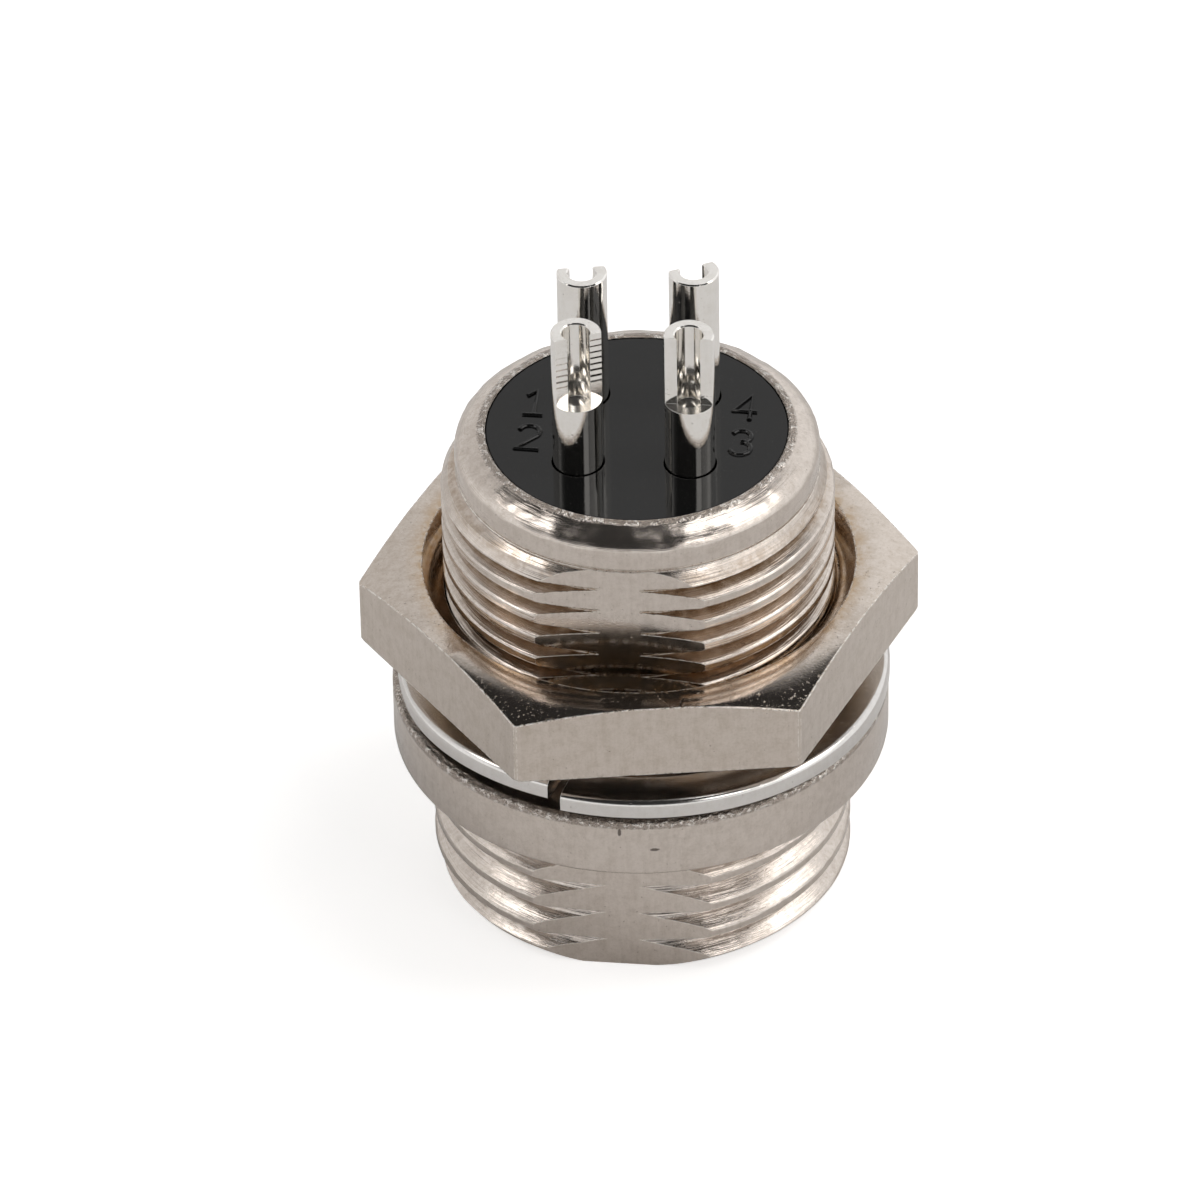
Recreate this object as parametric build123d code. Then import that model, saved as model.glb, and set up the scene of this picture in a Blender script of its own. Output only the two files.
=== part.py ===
from build123d import *
import math
import os

# Panel-mount circular connector with a 16 mm coupling thread and four solder-cup contacts.
# It stands on its mating rim: the origin is the centre of that rim, +Z runs up to the solder cups,
# and the two die-parting flats across the threads face -Y and +Y. All sizes are millimetres.

# Shell, outside, from the mating rim upwards
mating_thread_diameter = 16.0
mating_flat_distance = 7.4
mating_length = 6.15
mating_lead_in = 0.6
flange_diameter = 18.9
flange_thickness = 2.5
flange_top_chamfer = 0.2
flange_bottom_chamfer = 0.25
rear_thread_diameter = 14.8
rear_flat_distance = 6.85
rear_thread_length = 9.85
rear_lead_in_length = 0.85
collar_diameter = 13.66
collar_length = 0.9
lip_inner_diameter = 11.36
lip_rise = 0.75
lip_edge = 0.1

# Shell, inside, from the mating rim upwards
cavity_diameter = 12.6
cavity_depth = 8.4
cavity_lead_in = 0.3
key_width = 1.8
key_height = 0.7
key_setback = 1.2
shoulder_diameter = 10.6
shoulder_thickness = 1.0
pocket_diameter = 12.2
lip_wall = 0.6

# Insulators, stacked in the pocket and held by the rolled lip
insulator_clearance = 0.05
spigot_proud = 0.5
front_insulator_thickness = 3.0
tail_hole_diameter = 2.0
pin_hole_clearance = 0.05
contact_collar_clearance = 0.05

# Contacts: mating pin, trapped collar and solder cup turned from one rod
pin_circle_diameter = 5.9
pin_circle_turned = 3.3
pin_diameter = 1.6
pin_recess = 1.6
pin_nose_diameter = 0.8
pin_nose_length = 0.5
contact_collar_diameter = 2.8
contact_collar_thickness = 1.2
tail_diameter = 1.88
tail_reach = 5.95
cup_open_length = 3.0
cup_cut_from_axis = 0.3
cup_bore_diameter = 1.05
cup_bore_depth = 4.2
cup_edge_break = 0.05
drill_point_angle = 118.0
cup_facing_1 = 101.0
cup_facing_2 = -55.0
cup_facing_3 = -89.0
cup_facing_4 = 115.0

# Curved split lock washer, loose on the rear thread
washer_outer_diameter = flange_diameter
washer_inner_diameter = 15.5
washer_thickness = 0.8
washer_bow = 0.55
washer_split_width = 0.5
washer_split_angle = -105.0
washer_seat_gap = 0.02

# Hex nut, part of the way up the rear thread
nut_across_flats = 18.4
nut_thickness = 3.0
nut_height_above_flange = 2.3
nut_turned = 10.2
nut_thread_clearance = 0.05
nut_top_face_diameter = 18.5
nut_top_chamfer_angle = 20.0
nut_bottom_face_diameter = 20.5
nut_bottom_chamfer_angle = 30.0
nut_dish_diameter = 16.4
nut_dish_angle = 45.0
nut_bottom_dish = 0.3
nut_crown_margin = 1.0

# Heights of the faces that pieces share
flange_top = mating_length + flange_thickness
collar_base = flange_top + rear_thread_length
collar_top = collar_base + collar_length
lip_top = collar_top + lip_rise
insulator_face = lip_top - lip_edge
shoulder_top = cavity_depth + shoulder_thickness
parting_plane = shoulder_top + front_insulator_thickness
collar_seat_top = parting_plane + contact_collar_thickness
cup_top = insulator_face + tail_reach
cup_ledge = cup_top - cup_open_length


def turned(*outline):
    """Solid of revolution about Z through closed (radius, height) points."""
    return revolve(Plane.XZ * make_face(Polyline(*outline, close=True)), Axis.Z)


def rod(radius, low, high, x=0.0, y=0.0):
    """Upright cylinder between two heights."""
    return Pos(x, y, low) * Cylinder(radius, high - low, align=(Align.CENTER, Align.CENTER, Align.MIN))


def flats_beyond(distance, low, high):
    """Pair of blocks that leave a flat at this distance from the axis on both the -Y and +Y sides."""
    width = flange_diameter
    blocks = [
        Pos(0, side * (distance + width / 2), (low + high) / 2) * Box(2 * width, width, high - low)
        for side in (-1, 1)
    ]
    return blocks[0] + blocks[1]


def contact_places():
    """Axis of each numbered contact, on the corners of a square, and the direction its cup opens to."""
    facings = (cup_facing_1, cup_facing_2, cup_facing_3, cup_facing_4)
    radius = pin_circle_diameter / 2
    places = {}
    for number, facing in enumerate(facings, start=1):
        around = math.radians(45 + 90 * number + pin_circle_turned)
        places[number] = (radius * math.cos(around), radius * math.sin(around), facing)
    return places


def make_shell():
    """Die-cast shell: coupling sleeve, flange and rear barrel, with the lip rolled over the insulator."""
    mating_radius = mating_thread_diameter / 2
    flange_radius = flange_diameter / 2
    rear_radius = rear_thread_diameter / 2
    collar_radius = collar_diameter / 2
    body = turned(
        (0, 0),
        (mating_radius - mating_lead_in, 0),
        (mating_radius, mating_lead_in),
        (mating_radius, mating_length),
        (flange_radius - flange_bottom_chamfer, mating_length),
        (flange_radius, mating_length + flange_bottom_chamfer),
        (flange_radius, flange_top - flange_top_chamfer),
        (flange_radius - flange_top_chamfer, flange_top),
        (rear_radius, flange_top),
        (rear_radius, collar_base - rear_lead_in_length),
        (collar_radius, collar_base),
        (collar_radius, collar_top),
        (lip_inner_diameter / 2, lip_top),
        (0, lip_top),
    )
    body -= flats_beyond(mating_flat_distance, 0, mating_length)
    body -= flats_beyond(rear_flat_distance, flange_top, collar_base)

    cavity_radius = cavity_diameter / 2
    pocket_radius = pocket_diameter / 2
    lip_radius = lip_inner_diameter / 2
    body -= turned(
        (0, 0),
        (cavity_radius + cavity_lead_in, 0),
        (cavity_radius, cavity_lead_in),
        (cavity_radius, cavity_depth),
        (shoulder_diameter / 2, cavity_depth),
        (shoulder_diameter / 2, shoulder_top),
        (pocket_radius, shoulder_top),
        (pocket_radius, insulator_face - lip_wall),
        (lip_radius, insulator_face),
        (lip_radius, lip_top),
        (0, lip_top),
    )
    key_depth = key_height + cavity_lead_in
    key = Pos(0, cavity_radius + cavity_lead_in - key_depth / 2, (key_setback + cavity_depth) / 2) * Box(
        key_width, key_depth, cavity_depth - key_setback
    )
    return body + key


def make_front_insulator():
    """Disc on the shell's inner shoulder, with a spigot that shows in the mating cavity."""
    disc = rod(pocket_diameter / 2 - insulator_clearance, shoulder_top, parting_plane)
    spigot = rod(shoulder_diameter / 2 - insulator_clearance, cavity_depth - spigot_proud, shoulder_top)
    insulator = disc + spigot
    for x, y, _ in contact_places().values():
        insulator -= rod(pin_diameter / 2 + pin_hole_clearance, 0, parting_plane, x, y)
    return insulator


def make_rear_insulator():
    """Disc that traps the contact collars and is itself held by the rolled lip."""
    outer = pocket_diameter / 2 - insulator_clearance
    face_radius = lip_inner_diameter / 2 - insulator_clearance
    insulator = turned(
        (0, parting_plane),
        (outer, parting_plane),
        (outer, insulator_face - lip_wall - insulator_clearance),
        (face_radius, insulator_face),
        (0, insulator_face),
    )
    for x, y, _ in contact_places().values():
        insulator -= rod(tail_hole_diameter / 2, parting_plane, insulator_face, x, y)
        insulator -= rod(
            contact_collar_diameter / 2 + contact_collar_clearance,
            parting_plane,
            collar_seat_top + contact_collar_clearance,
            x,
            y,
        )
    return insulator


def make_contact(x, y, facing):
    """One contact: nosed mating pin, trapped collar, and a solder cup milled open to one side."""
    pin_radius = pin_diameter / 2
    tail_radius = tail_diameter / 2
    bore_radius = cup_bore_diameter / 2
    bore_floor = cup_top - cup_bore_depth
    drill_point = bore_radius / math.tan(math.radians(drill_point_angle / 2))
    contact = turned(
        (0, pin_recess),
        (pin_nose_diameter / 2, pin_recess),
        (pin_radius, pin_recess + pin_nose_length),
        (pin_radius, parting_plane),
        (contact_collar_diameter / 2, parting_plane),
        (contact_collar_diameter / 2, collar_seat_top),
        (tail_radius, collar_seat_top),
        (tail_radius, cup_top - cup_edge_break),
        (tail_radius - cup_edge_break, cup_top),
        (bore_radius, cup_top),
        (bore_radius, bore_floor),
        (0, bore_floor - drill_point),
    )
    milled = Pos(cup_cut_from_axis + tail_diameter, 0, (cup_ledge + cup_top) / 2) * Box(
        2 * tail_diameter, 2 * tail_diameter, cup_open_length
    )
    return Pos(x, y, 0) * Rot(0, 0, facing) * (contact - milled)


def make_lock_washer():
    """Split ring bent about X, so that it stands on its sides and its split front is lifted."""
    half_span = washer_outer_diameter / 2
    bend_radius = (half_span**2 + washer_bow**2) / (2 * washer_bow)
    seat = flange_top + washer_seat_gap
    low = turned_slab(bend_radius, seat)
    high = turned_slab(bend_radius - washer_thickness, seat + washer_thickness)
    reach = seat + washer_bow + 2 * washer_thickness
    ring = rod(half_span, seat, reach) - rod(washer_inner_diameter / 2, seat, reach)
    ring = (ring & low) - high
    slot = Pos(half_span, 0, (seat + reach) / 2) * Box(
        washer_outer_diameter, washer_split_width, 2 * (reach - seat)
    )
    return ring - Rot(0, 0, washer_split_angle) * slot


def turned_slab(radius, bottom):
    """Cylinder along X whose lowest line lies on Y = 0 at this height."""
    return Pos(0, 0, bottom + radius) * Rot(0, 90, 0) * Cylinder(radius, 2 * washer_outer_diameter)


def make_hex_nut():
    """Hex nut with a crowned top, eased lower corners and a dished mouth."""
    bottom = flange_top + nut_height_above_flange
    top = bottom + nut_thickness
    corner = nut_across_flats / math.sqrt(3)
    bore_radius = rear_thread_diameter / 2 + nut_thread_clearance
    top_radius = nut_top_face_diameter / 2
    bottom_radius = nut_bottom_face_diameter / 2
    reach = corner + nut_crown_margin
    hexagon = Pos(0, 0, bottom) * extrude(
        RegularPolygon(nut_across_flats / 2, 6, major_radius=False, rotation=nut_turned), nut_thickness
    )
    crown = turned(
        (0, bottom),
        (bottom_radius, bottom),
        (reach, bottom + (reach - bottom_radius) * math.tan(math.radians(nut_bottom_chamfer_angle))),
        (reach, top - (reach - top_radius) * math.tan(math.radians(nut_top_chamfer_angle))),
        (top_radius, top),
        (0, top),
    )
    dish_depth = (nut_dish_diameter / 2 - bore_radius) / math.tan(math.radians(nut_dish_angle))
    mouth = turned(
        (0, bottom),
        (bore_radius + nut_bottom_dish, bottom),
        (bore_radius, bottom + nut_bottom_dish),
        (bore_radius, top - dish_depth),
        (nut_dish_diameter / 2, top),
        (0, top),
    )
    return (hexagon & crown) - mouth


def main():
    """Build every piece where it sits and write one STEP file for each."""
    pieces = {
        "shell": make_shell(),
        "front_insulator": make_front_insulator(),
        "rear_insulator": make_rear_insulator(),
        "lock_washer": make_lock_washer(),
        "hex_nut": make_hex_nut(),
    }
    for number, place in contact_places().items():
        pieces[f"contact_{number}"] = make_contact(*place)

    os.makedirs("parts", exist_ok=True)
    for name, piece in pieces.items():
        export_step(piece, f"parts/{name}.step")


main()
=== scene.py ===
"""Looks of a panel-mount circular connector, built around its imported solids.

Sizes are in millimetres in the classes below and become metres when a piece is finished.
The origin is the centre of the mating rim, +Z runs up to the solder cups, and the two
die-parting flats face -Y and +Y.
"""
import logging
import math
from dataclasses import dataclass
from enum import Enum
from typing import Any, Callable, Iterable, Union

import bmesh
import bpy
from mathutils import Matrix, Vector, noise


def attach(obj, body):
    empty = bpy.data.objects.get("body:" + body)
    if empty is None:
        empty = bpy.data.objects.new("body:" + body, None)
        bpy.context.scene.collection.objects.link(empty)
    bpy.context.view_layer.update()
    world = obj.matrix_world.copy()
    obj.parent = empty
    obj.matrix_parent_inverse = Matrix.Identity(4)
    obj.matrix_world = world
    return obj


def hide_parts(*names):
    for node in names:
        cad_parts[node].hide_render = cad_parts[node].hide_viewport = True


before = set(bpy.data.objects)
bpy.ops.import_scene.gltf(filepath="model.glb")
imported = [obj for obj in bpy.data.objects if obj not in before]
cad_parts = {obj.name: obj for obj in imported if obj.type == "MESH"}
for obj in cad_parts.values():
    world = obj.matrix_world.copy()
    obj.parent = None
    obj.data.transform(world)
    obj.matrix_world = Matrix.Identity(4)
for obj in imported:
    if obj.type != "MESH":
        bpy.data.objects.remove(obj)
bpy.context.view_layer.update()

LOG = logging.getLogger("connector")
Mesh = bmesh.types.BMesh
Edge = bmesh.types.BMEdge
Corner = bmesh.types.BMVert
Material = bpy.types.Material
Object = bpy.types.Object
Colour = tuple[float, float, float]
Point = tuple[float, float]

METRES = 0.001
FULL_TURN = 2 * math.pi
TURN_STEPS = 240
WELD = 0.0015
CUT_TOLERANCE = 0.0002
INSIDE = "inside"
# Dark brown of grime specks, also used as painted shade on the shell's rough rings
GRIME_AND_SHADE = (0.16, 0.12, 0.09)
SCRATCH = (0.05, 0.035, 0.03)

# Heights that the pieces share, in millimetres
MATING_LENGTH = 6.15
FLANGE_TOP = 8.65
COLLAR_BASE = 18.5
LIP_TOP = 20.15
INSULATOR_FACE = 20.05
CUP_TOP = 26.0
CUP_LEDGE = 23.0
NUT_BOTTOM = 10.84
NUT_TOP = 13.95


class Slot(Enum):
    """Names for material slots."""

    SHELL = "plated_shell"
    NUT = "plated_nut"
    WASHER = "plated_washer"
    INSULATOR = "black_insulator"
    CONTACT = "silver_contact"


class Body(Enum):
    """Bodies that pieces ride on."""

    SHELL = "shell"
    WASHER = "washer"
    NUT = "nut"


# Shader work


class Wire:
    """A socket of a node tree, on which arithmetic adds Math nodes."""

    def __init__(self, recipe: "Recipe", socket: bpy.types.NodeSocket) -> None:
        """Holds one output socket and the recipe it belongs to."""
        self.recipe = recipe
        self.socket = socket

    def _math(self, operation: str, *values: "Number") -> "Wire":
        """Adds one Math node of these values."""
        return self.recipe.node("Math", {"operation": operation}, dict(enumerate(values)))

    def __add__(self, other: "Number") -> "Wire":
        """Sum."""
        return self._math("ADD", self, other)

    def __radd__(self, other: "Number") -> "Wire":
        """Sum with the number first."""
        return self._math("ADD", other, self)

    def __sub__(self, other: "Number") -> "Wire":
        """Difference."""
        return self._math("SUBTRACT", self, other)

    def __rsub__(self, other: "Number") -> "Wire":
        """Difference with the number first."""
        return self._math("SUBTRACT", other, self)

    def __mul__(self, other: "Number") -> "Wire":
        """Product."""
        return self._math("MULTIPLY", self, other)

    def __rmul__(self, other: "Number") -> "Wire":
        """Product with the number first."""
        return self._math("MULTIPLY", other, self)

    def __abs__(self) -> "Wire":
        """Size without its sign."""
        return self._math("ABSOLUTE", self)

    def length_with(self, other: "Number") -> "Wire":
        """Length of the two as the sides of a right angle."""
        return self._math("SQRT", self * self + other * other)

    def rise(self, low: float, high: float) -> "Wire":
        """Smooth step from 0 at low to 1 at high, or back down where high is the smaller.

        Args:
            low: Value at which the result is 0.
            high: Value at which the result is 1.

        Returns:
            The step as a wire between 0 and 1.
        """
        if low > high:
            return 1 - self.rise(high, low)
        settings = {"interpolation_type": "SMOOTHSTEP"}
        return self.recipe.node("MapRange", settings, {"Value": self, 1: low, 2: high})


Number = Union[Wire, float]


class Recipe:
    """Node tree of one finish, with the few kinds of node that the finishes share."""

    def __init__(self, tree: bpy.types.NodeTree) -> None:
        """Takes a node tree and empties it."""
        self.tree = tree
        tree.nodes.clear()

    def node(
        self, kind: str, settings: dict[str, Any], sockets: dict[Any, Any], out: Union[int, str] = 0
    ) -> Wire:
        """Adds a node.

        Args:
            kind: Type of the shader node, without its prefix.
            settings: Its own settings, which are set first.
            sockets: Values or wires of its inputs, by name or number.
            out: Name or number of the output to return.

        Returns:
            The output, or the first input of a node that has no outputs.
        """
        made = self.tree.nodes.new("ShaderNode" + kind)
        for name, value in settings.items():
            setattr(made, name, value)
        for name, value in sockets.items():
            if isinstance(value, Wire):
                self.tree.links.new(value.socket, made.inputs[name])
            else:
                made.inputs[name].default_value = value
        return Wire(self, made.outputs[out] if made.outputs else made.inputs[0])

    def place(self) -> Wire:
        """Object coordinates in millimetres."""
        return self.scaled(self.node("TexCoord", {}, {}, "Object"), (1 / METRES,) * 3)

    def scaled(self, vector: Wire, factors: Colour) -> Wire:
        """Vector with each of its parts multiplied."""
        return self.node("VectorMath", {"operation": "MULTIPLY"}, {0: vector, 1: factors})

    def parts(self, vector: Wire) -> tuple[Wire, Wire, Wire]:
        """The three parts of a vector."""
        outputs = self.node("SeparateXYZ", {}, {0: vector}).socket.node.outputs
        return tuple(Wire(self, output) for output in outputs)

    def joined(self, x: Number, y: Number, z: Number) -> Wire:
        """Vector of three parts."""
        return self.node("CombineXYZ", {}, {0: x, 1: y, 2: z})

    def noise(self, vector: Wire, scale: float, detail: float, roughness: float) -> Wire:
        """Noise of this many cells per unit of the vector, around 0.5."""
        sockets = {"Vector": vector, "Scale": scale, "Detail": detail, "Roughness": roughness}
        return self.node("TexNoise", {}, sockets)

    def mixed(self, factor: Number, first: Any, second: Any) -> Wire:
        """Colour between two colours."""
        sockets = {0: factor, 6: self._rgba(first), 7: self._rgba(second)}
        return self.node("Mix", {"data_type": "RGBA"}, sockets, 2)

    @staticmethod
    def _rgba(colour: Any) -> Any:
        """A plain colour with its alpha, or the wire as it is."""
        return colour if isinstance(colour, Wire) else (*colour, 1.0)

    def likeness(self, first: Wire, second: Union[Wire, Colour]) -> Wire:
        """Cosine of the angle between two directions."""
        return self.node("VectorMath", {"operation": "DOT_PRODUCT"}, {0: first, 1: second}, "Value")

    def outward(self) -> Wire:
        """Normal of the surface before any finish."""
        return self.node("NewGeometry", {}, {}, "Normal")

    def seen(self) -> Wire:
        """1 for rays from the camera."""
        return self.node("LightPath", {}, {}, "Is Camera Ray")

    def apart(self, place: Wire, spot: Colour, stretch: Colour) -> Wire:
        """Distance of a place from a spot, stretched along each axis."""
        offset = self.node("VectorMath", {"operation": "SUBTRACT"}, {0: place, 1: spot})
        offset = self.scaled(offset, stretch)
        return self.node("VectorMath", {"operation": "LENGTH"}, {0: offset}, "Value")

    def inside(self) -> Wire:
        """1 where a mesh is marked as lying inside a bore."""
        return self.node("Attribute", {"attribute_name": INSIDE}, {}, "Fac")

    def rounded(self, radius: float) -> Wire:
        """Normal as if the piece's edges were rounded by this many millimetres."""
        return self.node("Bevel", {"samples": 6}, {"Radius": radius * METRES})

    def bumped(self, height: Wire, depth: float, normal: Wire) -> Wire:
        """Normal of a surface raised by a height between 0 and 1.

        Args:
            height: The height.
            depth: Rise of a height of 1, in millimetres.
            normal: Normal of the surface below it.

        Returns:
            The new normal.
        """
        return self.node("Bump", {}, {"Height": height, "Distance": depth * METRES, "Normal": normal})


def new_material(name: str) -> tuple[Material, Recipe]:
    """Empty material with nodes, and its recipe."""
    material = bpy.data.materials.new(name)
    material.use_nodes = True
    return material, Recipe(material.node_tree)


def close_material(recipe: Recipe, sockets: dict[str, Any]) -> None:
    """Ends a recipe with one Principled shader of these values and wires."""
    shader = recipe.node("BsdfPrincipled", {}, sockets)
    recipe.node("OutputMaterial", {}, {"Surface": shader})


# Mesh work


def whole(mesh: Mesh) -> list[Any]:
    """Everything in a mesh, as the operators take it."""
    return mesh.verts[:] + mesh.edges[:] + mesh.faces[:]


def only(kind: type, parts: Iterable[Any]) -> list[Any]:
    """The parts of a mesh that are of one kind."""
    return [part for part in parts if isinstance(part, kind)]


def lies_at(corner: Corner, height: float) -> bool:
    """Whether a corner lies at a height."""
    return abs(corner.co.z - height) < WELD


def add_object(name: str, data: Any) -> Object:
    """Adds an object to the scene."""
    made = bpy.data.objects.new(name, data)
    bpy.context.scene.collection.objects.link(made)
    return made


def spin_outline(
    mesh: Mesh,
    outline: Iterable[Point],
    steps: int = TURN_STEPS,
    start: float = 0.0,
    angle: float = FULL_TURN,
    climb: float = 0.0,
    closed: bool = False,
) -> None:
    """Turns an outline about Z.

    Args:
        mesh: The mesh that the new surface joins.
        outline: Its (radius, height) points.
        steps: Faces along the turn.
        start: Angle at which the turn starts, in radians.
        angle: Length of the turn, in radians.
        climb: Rise over the turn.
        closed: Whether the outline's last point joins its first.
    """
    corners = [mesh.verts.new((radius, 0.0, height)) for radius, height in outline]
    ends = corners[1:] + corners[:1] if closed else corners[1:]
    lines = [mesh.edges.new(pair) for pair in zip(corners, ends)]
    bmesh.ops.rotate(mesh, cent=(0, 0, 0), matrix=Matrix.Rotation(start, 3, "Z"), verts=corners)
    bmesh.ops.spin(
        mesh,
        geom=corners + lines,
        cent=(0, 0, 0),
        axis=(0, 0, 1),
        dvec=(0, 0, climb / steps),
        angle=angle,
        steps=steps,
        use_merge=angle == FULL_TURN and climb == 0.0,
    )


def rounded_corner(corner: Point, before: Point, after: Point, radius: float, steps: int) -> list[Point]:
    """Points of an arc that takes the place of an outline's corner.

    Args:
        corner: The corner.
        before: The point before it.
        after: The point after it.
        radius: Radius of the arc.
        steps: Segments of the arc.

    Returns:
        The arc's points, in the outline's direction.
    """
    tip = Vector(corner)
    back = (Vector(before) - tip).normalized()
    ahead = (Vector(after) - tip).normalized()
    half_angle = back.angle(ahead) / 2
    reach = radius / math.tan(half_angle)
    centre = tip + (back + ahead).normalized() * (radius / math.sin(half_angle))
    start = tip + back * reach - centre
    turn = start.angle_signed(tip + ahead * reach - centre)
    spokes = [Matrix.Rotation(-turn * step / steps, 2) @ start for step in range(steps + 1)]
    return [tuple(centre + spoke) for spoke in spokes]


def eased(outline: list[Point], radii: dict[int, float], steps: int) -> list[Point]:
    """Outline with some of its corners rounded.

    Args:
        outline: The sharp outline.
        radii: Radius of each rounded corner, by its number in the outline.
        steps: Segments of each arc.

    Returns:
        The new outline.
    """
    points: list[Point] = []
    for number, corner in enumerate(outline):
        if number in radii:
            before = outline[number - 1]
            after = outline[(number + 1) % len(outline)]
            points += rounded_corner(corner, before, after, radii[number], steps)
        else:
            points.append(corner)
    return points


def cut_away(mesh: Mesh, place: Colour, outward: Colour) -> list[Any]:
    """Cuts off what lies beyond a plane and returns what lies on the cut."""
    cut = bmesh.ops.bisect_plane(
        mesh, geom=whole(mesh), dist=CUT_TOLERANCE, plane_co=place, plane_no=outward, clear_outer=True
    )
    return cut["geom_cut"]


def fill_flat(mesh: Mesh, lines: list[Edge]) -> None:
    """Fills a flat region between closed loops, with crisp edges round it."""
    bmesh.ops.triangle_fill(mesh, use_beauty=True, edges=lines)
    for line in lines:
        line.smooth = False


def fill_level(mesh: Mesh, height: float) -> None:
    """Fills the flat region between the open edges at one height."""
    rims = [line for line in mesh.edges if line.is_boundary]
    fill_flat(mesh, [line for line in rims if all(lies_at(corner, height) for corner in line.verts)])


def absorb(mesh: Mesh, other: Mesh) -> None:
    """Moves another mesh into this one."""
    carrier = bpy.data.meshes.new("carrier")
    other.to_mesh(carrier)
    other.free()
    mesh.from_mesh(carrier)
    bpy.data.meshes.remove(carrier)


def finish_piece(
    mesh: Mesh,
    name: str,
    body: Body,
    material: Material,
    replaced: tuple[str, ...] = (),
    crease: float = 32.0,
) -> Object:
    """Makes a finished piece of a mesh in millimetres.

    Args:
        mesh: The mesh, which is used up.
        name: Name of the piece.
        body: Body that it rides on.
        material: Its finish.
        replaced: Solids that it stands for.
        crease: Angle in degrees from which an edge stays crisp.

    Returns:
        The piece.
    """
    bmesh.ops.remove_doubles(mesh, verts=mesh.verts[:], dist=WELD)
    bmesh.ops.dissolve_degenerate(mesh, dist=WELD / 4, edges=mesh.edges[:])
    bmesh.ops.recalc_face_normals(mesh, faces=mesh.faces[:])
    for face in mesh.faces:
        face.smooth = True
    for line in mesh.edges:
        if line.smooth:
            line.smooth = line.calc_face_angle(0.0) < math.radians(crease)
    bmesh.ops.scale(mesh, vec=(METRES,) * 3, verts=mesh.verts[:])
    loose = sum(line.is_boundary or line.is_wire for line in mesh.edges)
    data = bpy.data.meshes.new(name)
    mesh.to_mesh(data)
    mesh.free()
    data.materials.append(material)
    piece = add_object(name, data)
    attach(piece, body.value)
    if replaced:
        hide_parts(*replaced)
    LOG.info("%s: %d faces, %d open edges", name, len(data.polygons), loose)
    return piece


@dataclass(frozen=True)
class Thread:
    """Right-handed thread form: one pitch of its outline, about the middle of a groove."""

    pitch: float
    outline: tuple[Point, ...]
    groove_height: float
    unevenness: float = 0.0
    pieces: int = 1

    def wind(self, low: float, high: float, limit: Callable[[float, float], float]) -> Mesh:
        """Winds the thread between two heights.

        Args:
            low: Lower end.
            high: Upper end.
            limit: Gives the radius allowed for a radius and a height, as at a chamfer or a run-out.

        Returns:
            The thread's surface, open at both ends.
        """
        mesh = bmesh.new()
        start = self.groove_height + self.pitch / 4
        start -= self.pitch * math.ceil((start - low) / self.pitch + 1.5)
        turns = math.ceil((high - start) / self.pitch + 1)
        outline = [(radius, start + rise) for radius, rise in self._fine_outline()]
        spin_outline(mesh, outline, climb=self.pitch)
        first_turn = whole(mesh)
        for turn in range(1, turns):
            copied = bmesh.ops.duplicate(mesh, geom=first_turn)["geom"]
            bmesh.ops.translate(mesh, vec=(0, 0, self.pitch * turn), verts=only(Corner, copied))
        bmesh.ops.remove_doubles(mesh, verts=mesh.verts[:], dist=WELD)
        for corner in mesh.verts:
            radius = math.hypot(corner.co.x, corner.co.y)
            grain = noise.noise(corner.co * 1.7) + 0.7 * noise.noise(corner.co * 4.1)
            ratio = limit(radius + grain * self.unevenness, corner.co.z) / radius
            corner.co.x *= ratio
            corner.co.y *= ratio
        cut_away(mesh, (0, 0, low), (0, 0, -1))
        cut_away(mesh, (0, 0, high), (0, 0, 1))
        for corner in mesh.verts:
            corner.co.z = min(max(corner.co.z, low), high)
        return mesh

    def _fine_outline(self) -> list[Point]:
        """The outline with each of its lines divided into pieces."""
        fine = [self.outline[0]]
        for first, second in zip(self.outline, self.outline[1:]):
            for step in range(1, self.pieces + 1):
                fine.append(tuple(Vector(first).lerp(Vector(second), step / self.pieces)))
        return fine


def mill_flat(mesh: Mesh, distance: float, side: int, low: float, high: float) -> None:
    """Mills a flat on one side of an open threaded tube.

    Args:
        mesh: The tube.
        distance: Distance of the flat from the axis.
        side: -1 for the flat that faces -Y and 1 for the other.
        low: Lower end of the tube.
        high: Upper end of the tube.
    """
    cut = cut_away(mesh, (0, side * distance, 0), (0, side, 0))
    lines = only(Edge, cut)
    for height in (low, high):
        level = [corner for corner in only(Corner, cut) if lies_at(corner, height)]
        ends = sorted(level, key=lambda corner: corner.co.x)
        lines.append(mesh.edges.new((ends[0], ends[-1])))
    fill_flat(mesh, lines)


# Finishes


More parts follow.
